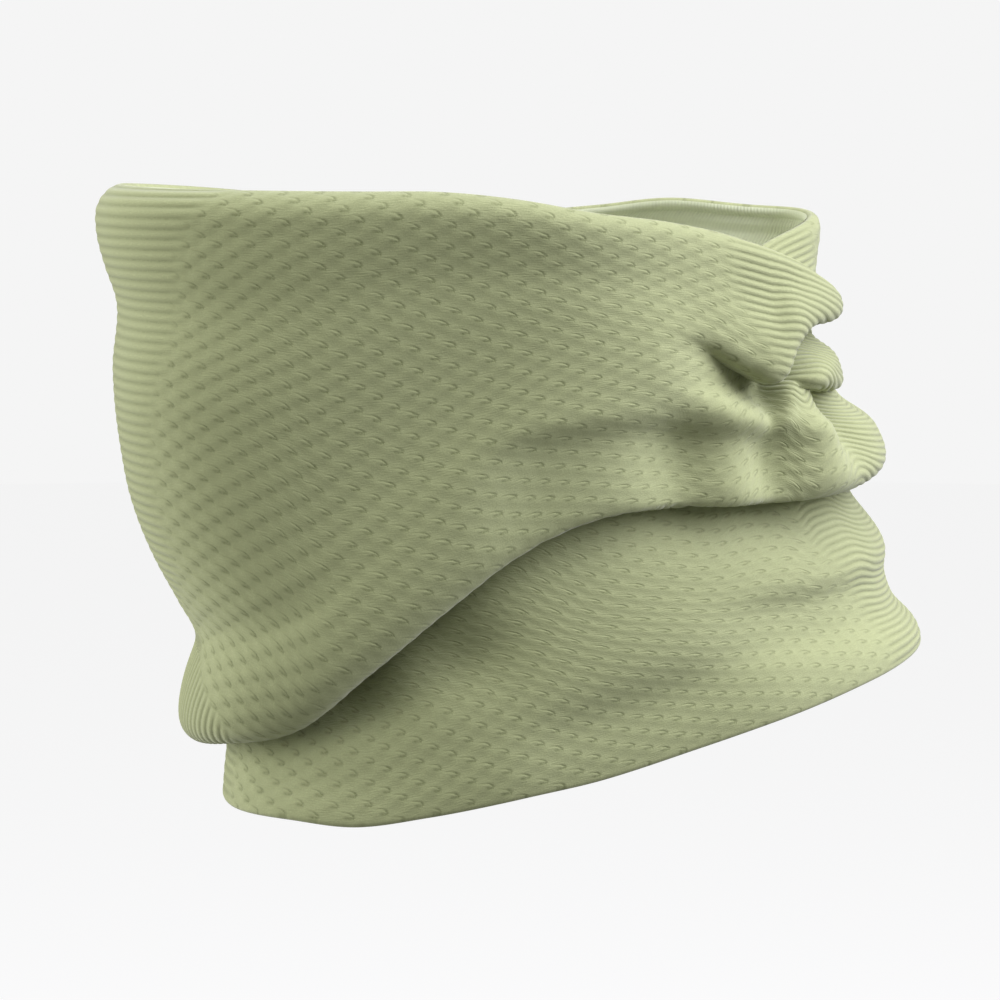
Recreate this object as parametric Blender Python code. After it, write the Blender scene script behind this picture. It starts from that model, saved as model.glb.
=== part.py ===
"""Neck warmer: one seamless knitted tube, in the shape it takes round a neck.

The cloth stands up at the chin, lies in gathers at the nape and is folded over itself once all the way
round, in a lip that is low at the chin and high at the nape. Below the lip it flares over the collar.
Frame: metres, +Z up, the wearer's chin towards -Y, the nape towards +Y and the left side towards +X. The
origin is on the neck's axis, half way up the hollow. Azimuths are in degrees from +X towards +Y.
"""
import bpy
import numpy as np
from mathutils.bvhtree import BVHTree

# Heights and reaches of the cloth's outer face, from the origin
RIM_RISE = 0.078
HEM_DROP = 0.072
CHIN_REACH = 0.100
NAPE_REACH = 0.085
LEFT_REACH = 0.059
RIGHT_REACH = 0.058
# Knitted wall, and the turned edge at the rim
WALL = 0.002
TURN_WALL = 0.003
TURN_HEIGHT = 0.006
# The folded lip: how far it lies over the cloth below, how wide its bends are, and how far apart its layers
OVERLAP = 0.015
LIP_WIDTH = 0.0055
LIP_GAP = 0.005
# Depth of the nape's folds and of the dents
FOLD_DEPTH = 0.010
GATHER_WIDTH = 0.0045
DENT_HEIGHT = 0.020
# Where the lip starts down the tube, as a share of the way from rim to hem
LIP_PLACE = 0.62
# Facets round and down the tube
AROUND = 88
DOWN = 32
# Most times that the cloth is eased where its wall would run into itself
EASINGS = 150

# One row for each azimuth. Rim: share of RIM_RISE. Lip: lower edge, share of RIM_RISE above the origin and
# of HEM_DROP below it. Crest and tuck: shares of FOLD_DEPTH. Overlap: share of OVERLAP. Hem: share of HEM_DROP.
EDGES = [
    # azimuth, rim, lip, crest, tuck, overlap, hem
    (-90, 1.00, -0.80, 0.0, 0.0, 0.60, -0.99),
    (-62, 1.00, -0.77, 0.0, 0.0, 0.67, -0.99),
    (-45, 1.00, -0.69, 0.0, 0.0, 0.80, -0.99),
    (-30, 1.00, -0.48, 0.0, 0.1, 0.93, -1.00),
    (-15, 1.00, -0.28, 0.0, 0.1, 1.00, -0.96),
    (5, 0.975, -0.08, 0.0, 0.2, 0.85, -0.89),
    (22, 0.935, 0.01, 0.05, 0.35, 0.60, -0.83),
    (40, 0.90, 0.035, 0.15, 0.45, 0.47, -0.73),
    (55, 0.85, 0.035, 0.3, 0.5, 0.42, -0.63),
    (68, 0.78, 0.045, 0.5, 0.4, 0.35, -0.545),
    (80, 0.69, 0.055, 0.7, 0.2, 0.23, -0.49),
    (90, 0.69, 0.07, 0.75, 0.2, 0.20, -0.47),
    (100, 0.79, 0.07, 0.7, 0.2, 0.20, -0.48),
    (112, 0.885, 0.06, 0.4, 0.3, 0.30, -0.52),
    (125, 0.91, 0.04, 0.3, 0.3, 0.50, -0.60),
    (138, 0.93, 0.01, 0.2, 0.2, 0.60, -0.67),
    (155, 0.905, -0.06, 0.0, 0.1, 0.73, -0.72),
    (180, 0.88, -0.20, 0.0, 0.1, 0.93, -0.88),
    (205, 0.895, -0.42, 0.0, 0.1, 1.00, -0.99),
    (225, 0.935, -0.61, 0.0, 0.0, 0.87, -1.03),
    (245, 0.975, -0.74, 0.0, 0.0, 0.73, -1.02),
]
# One row for each section from rim to hem. Front, back, left and right: shares of CHIN_REACH, NAPE_REACH,
# LEFT_REACH and RIGHT_REACH. Square: 2 is an ellipse, more is squarer.
SECTIONS = [
    # place, front, back, left, right, square
    (0.00, 1.000, 1.00, 1.00, 1.00, 2.40),
    (0.06, 0.988, 1.00, 1.00, 1.00, 2.40),
    (0.13, 0.958, 1.00, 0.98, 0.98, 2.40),
    (0.21, 0.958, 0.98, 0.98, 0.98, 2.40),
    (0.30, 0.940, 0.99, 0.98, 0.98, 2.40),
    (0.36, 0.915, 1.00, 0.98, 0.98, 2.40),
    (0.43, 0.855, 1.00, 0.98, 0.98, 2.40),
    (0.48, 0.790, 0.99, 0.98, 0.98, 2.40),
    (0.52, 0.735, 0.99, 0.97, 0.98, 2.40),
    (0.58, 0.757, 1.00, 0.96, 0.98, 2.40),
    (0.62, 0.745, 1.02, 0.955, 0.97, 2.35),
    (0.66, 0.735, 1.06, 0.96, 0.97, 2.30),
    (0.72, 0.725, 1.11, 0.98, 0.99, 2.30),
    (0.80, 0.725, 1.15, 1.01, 1.03, 2.30),
    (0.90, 0.725, 1.185, 1.09, 1.10, 2.30),
    (1.00, 0.720, 1.24, 1.20, 1.21, 2.30),
]
# Folds of the nape and the sides. Height: share of RIM_RISE above the origin and of HEM_DROP below it.
# Width: share of GATHER_WIDTH. Crest and tuck: shares of FOLD_DEPTH. Overlap: share of OVERLAP.
FOLDS = {
    "upper nape fold": [
        # azimuth, height, width, crest, tuck, overlap
        (34, 0.54, 1.0, 0.0, 0.0, 0.0),
        (47, 0.51, 1.0, 0.0, 0.6, 0.07),
        (55, 0.475, 1.0, 0.2, 1.1, 0.33),
        (61, 0.455, 1.0, 0.4, 1.3, 0.40),
        (66, 0.475, 0.95, 0.5, 1.15, 0.30),
        (71, 0.55, 0.8, 0.3, 0.9, 0.15),
        (77, 0.59, 0.7, 0.2, 0.65, 0.10),
        (88, 0.595, 0.7, 0.2, 0.6, 0.10),
        (105, 0.56, 0.75, 0.3, 0.6, 0.13),
        (125, 0.46, 0.9, 0.2, 0.5, 0.17),
        (150, 0.385, 1.0, 0.0, 0.0, 0.0),
    ],
    "middle nape fold": [
        (58, 0.40, 0.8, 0.0, 0.0, 0.0),
        (68, 0.40, 0.8, 0.1, 0.3, 0.07),
        (78, 0.38, 0.75, 0.1, 0.5, 0.15),
        (90, 0.385, 0.75, 0.1, 0.5, 0.15),
        (105, 0.39, 0.75, 0.2, 0.5, 0.17),
        (128, 0.30, 0.8, 0.0, 0.0, 0.0),
    ],
    "crease above the lip": [
        (0, 0.18, 0.8, 0.0, 0.0, 0.0),
        (20, 0.20, 0.8, 0.0, 0.15, 0.0),
        (50, 0.20, 0.8, 0.0, 0.2, 0.0),
        (60, 0.235, 0.8, 0.0, 0.3, 0.0),
        (68, 0.25, 0.8, 0.0, 0.1, 0.0),
        (86, 0.26, 0.8, 0.0, 0.0, 0.0),
    ],
    "lower nape crease": [
        (40, -0.33, 1.1, 0.0, 0.0, 0.0),
        (60, -0.29, 1.1, 0.1, 0.25, 0.0),
        (80, -0.235, 1.1, 0.15, 0.2, 0.0),
        (90, -0.22, 1.1, 0.2, 0.2, 0.0),
        (110, -0.22, 1.1, 0.15, 0.2, 0.0),
        (140, -0.31, 1.1, 0.0, 0.0, 0.0),
    ],
    "lower side valley": [
        (0, -0.75, 1.8, 0.0, 0.0, 0.0),
        (16, -0.68, 1.8, 0.05, 0.25, 0.0),
        (38, -0.555, 1.8, 0.1, 0.3, 0.0),
        (55, -0.47, 1.8, 0.0, 0.0, 0.0),
    ],
}
# Dents and bulges. Height: share of RIM_RISE. Spread: degrees. Tall: share of DENT_HEIGHT. Push: share of
# FOLD_DEPTH, outwards.
DENTS = {
    # azimuth, height, spread, tall, push
    "pleat in the rim": (96, 1.00, 9, 1.0, -3.0),
    "crest beside the pleat": (113, 0.96, 9, 1.0, 1.3),
    "roll of the near rim": (84, 0.68, 9, 0.3, 0.25),
    "side hollow": (41, 0.245, 9, 0.4, -0.3),
    "ridge under the fold": (70, 0.345, 5, 0.2, 0.3),
    "hollow beside the ridge": (80, 0.28, 4, 0.2, -0.4),
}


def curve(x, places, values, period=None):
    """A smooth curve through a table's rows, closed on itself when it has a period."""
    places = np.asarray(places, float)
    values = np.asarray(values, float)
    if period:
        places = np.concatenate([places[-2:] - period, places, places[:2] + period])
        values = np.concatenate([values[-2:], values, values[:2]])
        x = (x - places[2]) % period + places[2]
    x = np.clip(x, places[0], places[-1])
    gap = np.diff(places)
    rise = np.diff(values) / gap
    slope = np.zeros_like(values)
    slope[1:-1] = (rise[:-1] * gap[1:] + rise[1:] * gap[:-1]) / (gap[:-1] + gap[1:])
    i = np.clip(np.searchsorted(places, x, side="right") - 1, 0, len(gap) - 1)
    t = (x - places[i]) / gap[i]
    start = (2 * t**3 - 3 * t**2 + 1) * values[i] + (t**3 - 2 * t**2 + t) * gap[i] * slope[i]
    end = (3 * t**2 - 2 * t**3) * values[i + 1] + (t**3 - t**2) * gap[i] * slope[i + 1]
    return start + end


def bell(t):
    return np.exp(-0.5 * t * t)


def turn_over(t):
    """Height that a fold's bend adds: the cloth sinks by 1 above the fold and rises by 1 below it."""
    return t * np.exp((1 - t * t) / 2)


def pocket(t):
    """Depth of a fold's hollow: steep under the fold, level at its bottom, steep again below."""
    return np.exp(-((t - 0.9) / 1.5) ** 4)


def layers(t):
    """Steps inwards at the lip's two bends, from 1 above the lip to -1 below it, fading away from it."""
    return -0.5 * (np.tanh((t + 1) / 0.4) + np.tanh((t - 1) / 0.4)) * bell(t / 3)


def level(share):
    """Height of a share of the rim's rise, or of the hem's drop when it is negative."""
    return np.where(share < 0, share * HEM_DROP, share * RIM_RISE)


def cloth(azimuth, place):
    """Points half way through the wall, and the section's outward direction, for equal-shaped arrays of
    azimuths and of places down the tube from 0 at the rim to 1 at the hem."""
    edges = np.array(EDGES, float)
    rim, lip, lip_crest, lip_tuck, overlap, hem = [
        curve(azimuth, edges[:, 0], edges[:, k], 360) for k in range(1, 7)]
    rim = level(rim)
    hem = level(hem)
    overlap = overlap * OVERLAP
    middle = level(lip) + 0.58 * overlap
    above = rim + (middle - rim) * place / LIP_PLACE
    below = middle + (hem - middle) * (place - LIP_PLACE) / (1 - LIP_PLACE)
    height = np.where(place < LIP_PLACE, above, below)

    sections = np.array(SECTIONS, float)
    front, back, left, right, square = [
        curve(place, sections[:, 0], sections[:, k]) for k in range(1, 6)]
    angle = np.radians(azimuth)
    across = np.cos(angle)
    along = np.sin(angle)
    half_x = np.where(across > 0, left * LEFT_REACH, right * RIGHT_REACH) - WALL / 2
    half_y = np.where(along > 0, back * NAPE_REACH, front * CHIN_REACH) - WALL / 2
    radius = ((np.abs(across) / half_x) ** square + (np.abs(along) / half_y) ** square) ** (-1 / square)
    x = radius * across
    y = radius * along
    out_x = np.sign(x) * np.abs(x / half_x) ** (square - 1) / half_x
    out_y = np.sign(y) * np.abs(y / half_y) ** (square - 1) / half_y
    length = np.hypot(out_x, out_y)

    t = (middle - height) / LIP_WIDTH
    push = FOLD_DEPTH * (lip_crest * bell(t + 1.5) - lip_tuck * bell(t - 0.9)) + LIP_GAP * layers(t)
    lift = overlap * turn_over(t) * np.clip((height - hem) / (2 * LIP_WIDTH), 0, 1)
    around = (azimuth + 90) % 360 - 90
    for rows in FOLDS.values():
        rows = np.array(rows, float)
        inside = (around > rows[0, 0]) & (around < rows[-1, 0])
        fold, width, crest, tuck, fold_overlap = [curve(around, rows[:, 0], rows[:, k]) for k in range(1, 6)]
        t = (level(fold) - height) / (width * GATHER_WIDTH)
        push = push + np.where(inside, FOLD_DEPTH * (crest * bell(t + 1.5) - tuck * pocket(t)), 0)
        lift = lift + np.where(inside, OVERLAP * fold_overlap * turn_over(t), 0)
    for centre, dent, spread, tall, amount in DENTS.values():
        away = (azimuth - centre + 180) % 360 - 180
        rise = (height - level(dent)) / (tall * DENT_HEIGHT)
        push = push + FOLD_DEPTH * amount * bell(away / spread) * bell(rise)
    return np.stack([x + push * out_x / length, y + push * out_y / length, height + lift], -1)


def spread_by_need(length, bend, count):
    """Places from 0 to 1 that take equal shares of the cloth's length and of its bending."""
    need = length / length.sum() + bend / bend.sum()
    total = np.concatenate([[0], np.cumsum(need)])
    return np.interp(np.linspace(0, total[-1], count + 1), total, np.linspace(0, 1, len(total)))


def turning(points):
    """Length of each step along the second axis, and the angle turned there."""
    step = np.diff(points, axis=1)
    size = np.linalg.norm(step, axis=-1)
    heading = step / size[..., None]
    angle = np.arccos(np.clip((heading[:, 1:] * heading[:, :-1]).sum(-1), -1, 1))
    return size, np.concatenate([angle[:, :1], angle], 1)


def grid_lines():
    """Azimuths and places of the facets' corners, closer together where the cloth bends."""
    azimuth, place = np.meshgrid(np.linspace(-90, 270, 181), np.linspace(0, 1, 601), indexing="ij")
    points = cloth(azimuth, place)
    size, angle = turning(points)
    down = spread_by_need(size.mean(0), angle.mean(0), DOWN)
    size, angle = turning(points.transpose(1, 0, 2))
    round_it = spread_by_need(size.mean(0), angle.mean(0), AROUND)
    return -90 + 360 * round_it[:-1], down


def outward(azimuth, place):
    """Unit directions square to the cloth, pointing away from the neck."""
    step = 1e-3
    round_it = cloth(azimuth + 360 * step, place) - cloth(azimuth - 360 * step, place)
    down = cloth(azimuth, np.minimum(place + step, 1)) - cloth(azimuth, np.maximum(place - step, 0))
    normal = np.cross(down, round_it)
    return normal / np.linalg.norm(normal, axis=-1, keepdims=True)


def tube_faces(count, rows):
    """Corners of the facets: the outer face, the inner face, and the edges at the rim and at the hem."""
    faces = []
    shift = count * rows
    for i in range(count):
        j = (i + 1) % count
        for k in range(rows - 1):
            a, b = i * rows + k, i * rows + k + 1
            c, d = j * rows + k + 1, j * rows + k
            faces += [(a, b, c), (a, c, d)]
            faces += [(d + shift, c + shift, b + shift), (d + shift, b + shift, a + shift)]
        for a, b in ((i * rows, j * rows), (j * rows + rows - 1, i * rows + rows - 1)):
            faces += [(a, b, b + shift), (a, b + shift, a + shift)]
    return faces


def crossing_corners(points, faces):
    """Numbers of the corners of facets that run through other facets of the wall."""
    tree = BVHTree.FromPolygons(points.tolist(), faces, all_triangles=True)
    corners = np.array(faces)
    pairs = np.array(tree.overlap(tree), int).reshape(-1, 2)
    pairs = pairs[pairs[:, 0] < pairs[:, 1]]
    first = corners[pairs[:, 0]]
    second = corners[pairs[:, 1]]
    apart = ~(first[:, :, None] == second[:, None, :]).any((1, 2))
    return np.unique(np.concatenate([first[apart], second[apart]]))


def tube_mesh(name):
    """The wall as a closed mesh. Where a bend is too tight for the wall's thickness, the cloth is eased
    towards its neighbours until the wall clears itself."""
    azimuths, places = grid_lines()
    azimuth, place = np.meshgrid(azimuths, places, indexing="ij")
    middle = cloth(azimuth, place)
    normal = outward(azimuth, place)
    count, rows = azimuth.shape
    faces = tube_faces(count, rows)
    for _ in range(EASINGS):
        below_rim = np.linalg.norm(middle - middle[:, :1], axis=-1, keepdims=True)
        turned = np.clip(1.5 - below_rim / TURN_HEIGHT, 0, 1)
        outer = middle + normal * WALL / 2
        inner = middle - normal * (WALL / 2 + (TURN_WALL - WALL) * turned)
        points = np.concatenate([outer.reshape(-1, 3), inner.reshape(-1, 3)])
        tight = np.zeros(count * rows, bool)
        tight[crossing_corners(points, faces) % (count * rows)] = True
        tight = tight.reshape(count, rows, 1)
        if not tight.any():
            break
        tight = tight | np.roll(tight, 1, 0) | np.roll(tight, -1, 0)
        tight[:, 1:] |= tight[:, :-1].copy()
        tight[:, :-1] |= tight[:, 1:].copy()
        for field in (middle, normal):
            beside = (np.roll(field, 1, 0) + np.roll(field, -1, 0)) / 2
            above = np.concatenate([field[:, :1], field[:, :-1]], 1)
            below = np.concatenate([field[:, 1:], field[:, -1:]], 1)
            eased = 0.5 * field + 0.2 * beside + 0.15 * (above + below)
            field[:] = np.where(tight, eased, field)
        normal /= np.linalg.norm(normal, axis=-1, keepdims=True)
    mesh = bpy.data.meshes.new(name)
    mesh.from_pydata([tuple(p) for p in points], [], faces)
    mesh.validate()
    mesh.shade_smooth()
    return mesh


def fabric(name, colour, roughness):
    material = bpy.data.materials.new(name)
    material.use_nodes = True
    shader = material.node_tree.nodes["Principled BSDF"]
    shader.inputs["Base Color"].default_value = (*colour, 1.0)
    shader.inputs["Roughness"].default_value = roughness
    shader.inputs["Metallic"].default_value = 0.0
    return material


for thing in list(bpy.data.objects):
    bpy.data.objects.remove(thing, do_unlink=True)

tube = bpy.data.objects.new("knit_tube", tube_mesh("knit_tube"))
bpy.context.scene.collection.objects.link(tube)
tube.data.materials.append(fabric("sage green knit", (0.296, 0.328, 0.171), 0.85))
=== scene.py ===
"""Neck warmer: one seamless knitted tube in the shape it takes round a neck, with its studio.

The cloth's outer face is made in four quarters and its inner face in one piece. All are the same surface,
worked out from two directions in the knit: how far round the tube, from the chin past the near side, and
how far down it, from rim to hem. Ribs and raised cells stand on that surface.
Frame: metres, +Z up, the wearer's chin towards -Y, the nape towards +Y and the left side towards +X.
"""

import bpy
import math
import numpy as np
from bpy.props import FloatProperty, FloatVectorProperty, IntProperty, PointerProperty
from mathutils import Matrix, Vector


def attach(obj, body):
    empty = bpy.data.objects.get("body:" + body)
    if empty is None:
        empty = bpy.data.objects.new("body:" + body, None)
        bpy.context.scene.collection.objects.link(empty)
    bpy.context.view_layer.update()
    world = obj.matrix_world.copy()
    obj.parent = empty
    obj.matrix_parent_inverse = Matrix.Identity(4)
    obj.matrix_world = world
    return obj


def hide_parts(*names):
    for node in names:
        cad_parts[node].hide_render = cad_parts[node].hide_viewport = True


bl_info = {
    "name": "Knitted neck warmer",
    "version": (1, 0, 0),
    "blender": (4, 5, 0),
    "location": "View3D > Sidebar > Neck warmer",
    "description": "Makes a ribbed and honeycomb knit neck tube in its worn form, with a plain studio",
    "category": "Object",
}

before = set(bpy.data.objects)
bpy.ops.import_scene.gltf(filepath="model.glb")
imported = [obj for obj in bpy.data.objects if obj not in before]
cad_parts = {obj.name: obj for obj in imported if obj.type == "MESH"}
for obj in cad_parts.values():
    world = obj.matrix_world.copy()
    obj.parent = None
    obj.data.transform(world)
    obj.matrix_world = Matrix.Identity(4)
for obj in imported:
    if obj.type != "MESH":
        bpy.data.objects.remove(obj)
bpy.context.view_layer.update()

# Where the lip's bend is down the tube, as a share of the way from rim to hem, and how far that bend is
# above the lip's lower edge, as a share of the overlap
LIP_PLACE = 0.62
LIP_BEND = 0.58
# Rows of the rounded edge at the rim and at the hem
EDGE_ROWS = 4
# Columns and rows of the grid that measures the cloth
MEASURE_ROUND = 540
MEASURE_DOWN = 900
# The stitched line under the turned edge: how softly the edge ends, and the line's width and depth
EDGE_SOFTNESS = 0.0012
STITCH_WIDTH = 0.0005
STITCH_DEPTH = 0.0002
# The studio: radius of the floor and side of each square light
FLOOR_REACH = 6
LIGHT_SIZE = 1.2
# A raised cell, in shares of its own width and height: where a cell starts, and the two half axes of the
# quarter ellipse along its shoulder
CELL_START = 0.69
SHOULDER_WIDTH = 0.42
SHOULDER_HEIGHT = 0.33
# Shares down the tube between which the ribs follow the chin's lip
RIBS_FOLD = (0.63, 0.83)

# One row for each azimuth. Rim: share of the rim's rise. Lip: lower edge, share of the rim's rise above the
# origin and of the hem's drop below it. Crest and tuck: shares of the fold depth. Overlap: share of the
# overlap. Hem: share of the hem's drop. Brim: share of the fold depth by which the lip's edge rolls out.
EDGES = [
    # azimuth, rim, lip, crest, tuck, overlap, hem, brim
    (-90, 1.00, -0.80, 0.0, 0.0, 0.60, -0.99, 0.10),
    (-62, 1.00, -0.77, 0.0, 0.4, 0.67, -0.99, 0.05),
    (-45, 1.00, -0.69, 0.1, 0.9, 0.80, -0.99, 0.05),
    (-30, 1.00, -0.48, 0.1, 1.0, 0.93, -1.00, 0.05),
    (-15, 1.00, -0.28, 0.1, 0.8, 1.00, -0.96, 0.10),
    (5, 0.975, -0.08, 0.0, 0.5, 0.85, -0.89, 0.20),
    (22, 0.935, 0.01, 0.05, 0.35, 0.60, -0.83, 0.20),
    (40, 0.90, 0.035, 0.10, 0.45, 0.47, -0.73, 0.25),
    (55, 0.85, 0.035, 0.3, 0.5, 0.42, -0.63, 0.35),
    (68, 0.78, 0.045, 0.5, 0.4, 0.35, -0.545, 0.30),
    (80, 0.69, 0.055, 0.7, 0.2, 0.23, -0.49, 0.15),
    (90, 0.69, 0.07, 0.75, 0.2, 0.20, -0.47, 0.10),
    (100, 0.79, 0.07, 0.7, 0.2, 0.20, -0.48, 0.10),
    (112, 0.885, 0.06, 0.4, 0.3, 0.30, -0.52, 0.20),
    (125, 0.91, 0.04, 0.3, 0.3, 0.50, -0.60, 0.30),
    (138, 0.93, 0.01, 0.2, 0.2, 0.60, -0.67, 0.35),
    (155, 0.905, -0.06, 0.0, 0.1, 0.73, -0.72, 0.35),
    (180, 0.88, -0.20, 0.0, 0.1, 0.93, -0.88, 0.35),
    (205, 0.895, -0.42, 0.0, 0.1, 1.00, -0.99, 0.35),
    (225, 0.935, -0.61, 0.0, 0.0, 0.87, -1.03, 0.30),
    (245, 0.975, -0.74, 0.0, 0.0, 0.73, -1.02, 0.20),
]
# One row for each section from rim to hem. Front, back, left and right: shares of the four reaches.
# Square: 2 is an ellipse, more is squarer.
SECTIONS = [
    # place, front, back, left, right, square
    (0.00, 1.000, 1.00, 1.00, 1.00, 2.40),
    (0.055, 0.998, 1.00, 1.00, 1.00, 2.40),
    (0.09, 0.978, 1.00, 0.99, 0.99, 2.40),
    (0.125, 0.952, 1.00, 0.98, 0.98, 2.40),
    (0.21, 0.958, 0.98, 0.98, 0.98, 2.40),
    (0.30, 0.940, 0.99, 0.98, 0.98, 2.40),
    (0.36, 0.915, 1.00, 0.98, 0.98, 2.40),
    (0.43, 0.855, 1.00, 0.98, 0.98, 2.40),
    (0.48, 0.790, 0.99, 0.98, 0.98, 2.40),
    (0.52, 0.735, 0.99, 0.97, 0.98, 2.40),
    (0.58, 0.757, 1.00, 0.96, 0.98, 2.40),
    (0.62, 0.745, 1.02, 0.955, 0.97, 2.35),
    (0.66, 0.735, 1.06, 0.96, 0.97, 2.30),
    (0.72, 0.725, 1.11, 0.98, 0.99, 2.30),
    (0.80, 0.725, 1.15, 1.00, 1.01, 2.30),
    (0.90, 0.725, 1.185, 1.035, 1.045, 2.30),
    (1.00, 0.720, 1.24, 1.09, 1.10, 2.30),
]
# Folds of the nape and the sides. Height: as the lip's. Width: share of the gathers' width. Crest and tuck:
# shares of the fold depth. Overlap: share of the overlap.
FOLDS = {
    "upper nape fold": [
        # azimuth, height, width, crest, tuck, overlap
        (34, 0.54, 1.0, 0.0, 0.0, 0.0),
        (47, 0.51, 1.0, 0.0, 0.45, 0.05),
        (54, 0.47, 1.0, 0.2, 0.95, 0.28),
        (59.5, 0.455, 1.0, 0.45, 1.1, 0.35),
        (62.5, 0.52, 0.88, 0.45, 1.0, 0.25),
        (67, 0.57, 0.75, 0.3, 0.95, 0.15),
        (77, 0.59, 0.7, 0.2, 0.65, 0.10),
        (88, 0.595, 0.7, 0.2, 0.6, 0.10),
        (105, 0.56, 0.75, 0.3, 0.6, 0.13),
        (125, 0.46, 0.9, 0.2, 0.5, 0.17),
        (150, 0.385, 1.0, 0.0, 0.0, 0.0),
    ],
    "middle nape fold": [
        (58, 0.40, 0.8, 0.0, 0.0, 0.0),
        (66, 0.40, 0.8, 0.3, 0.5, 0.12),
        (78, 0.38, 0.75, 0.2, 0.6, 0.15),
        (90, 0.385, 0.75, 0.1, 0.5, 0.15),
        (105, 0.39, 0.75, 0.2, 0.5, 0.17),
        (128, 0.30, 0.8, 0.0, 0.0, 0.0),
    ],
    "crease above the lip": [
        (-10, 0.18, 1.0, 0.0, 0.0, 0.0),
        (10, 0.245, 1.0, 0.0, 0.3, 0.0),
        (30, 0.28, 1.0, 0.0, 0.4, 0.0),
        (50, 0.26, 0.9, 0.0, 0.35, 0.0),
        (60, 0.25, 0.8, 0.0, 0.3, 0.0),
        (68, 0.25, 0.8, 0.0, 0.1, 0.0),
        (86, 0.26, 0.8, 0.0, 0.0, 0.0),
    ],
    "lower nape crease": [
        (40, -0.33, 1.1, 0.0, 0.0, 0.0),
        (60, -0.29, 1.1, 0.1, 0.25, 0.0),
        (80, -0.235, 1.1, 0.15, 0.2, 0.0),
        (90, -0.22, 1.1, 0.2, 0.2, 0.0),
        (110, -0.22, 1.1, 0.15, 0.2, 0.0),
        (140, -0.31, 1.1, 0.0, 0.0, 0.0),
    ],
    "lower side valley": [
        (0, -0.75, 1.8, 0.0, 0.0, 0.0),
        (16, -0.68, 1.8, 0.05, 0.17, 0.0),
        (38, -0.555, 1.8, 0.1, 0.2, 0.0),
        (55, -0.47, 1.8, 0.0, 0.0, 0.0),
    ],
}
# Dents and bulges. Height: as the lip's. Spread: degrees. Tall: share of the dent height. Push: share of
# the fold depth, outwards.
DENTS = {
    # azimuth, height, spread, tall, push
    "pleat in the rim": (96, 1.00, 9, 1.0, -3.0),
    "crest beside the pleat": (113, 0.96, 9, 1.0, 1.3),
    "roll of the near rim": (84, 0.68, 9, 0.3, 0.25),
    "hollow under the lip": (-36, -0.60, 11, 0.35, -0.6),
    "hollow at the lip's bend": (-14, -0.44, 11, 0.35, -0.45),
    "hem below the lip": (-28, -0.95, 18, 0.6, -0.5),
    "leaning rim": (52, 0.95, 18, 0.9, -0.9),
    "side hollow": (41, 0.245, 9, 0.4, -0.3),
    "ridge under the fold": (66.5, 0.30, 3, 0.3, 0.35),
    "hollow beside the ridge": (73, 0.285, 3, 0.22, -0.7),
    "dimple above the lip": (57, 0.205, 3.5, 0.25, -0.5),
    "dimple below the hollow": (40, 0.255, 5, 0.3, -0.3),
}

# Half widths of the ribbed bands, as shares of the girth, and how far down the tube. The nape's band is
# wider on the near side of its middle than on the far side.
BANDS = [
    # down, chin, nape near, nape far
    (0.00, 0.112, 0.130, 0.050),
    (0.05, 0.105, 0.126, 0.050),
    (0.15, 0.095, 0.113, 0.055),
    (0.25, 0.088, 0.106, 0.060),
    (0.36, 0.080, 0.090, 0.065),
    (0.42, 0.076, 0.062, 0.070),
    (0.50, 0.072, 0.055, 0.070),
    (0.62, 0.050, 0.055, 0.070),
    (0.66, 0.060, 0.060, 0.070),
    (0.70, 0.082, 0.065, 0.070),
    (0.76, 0.098, 0.070, 0.070),
    (0.84, 0.060, 0.070, 0.070),
    (1.00, 0.060, 0.070, 0.070),
]


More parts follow.
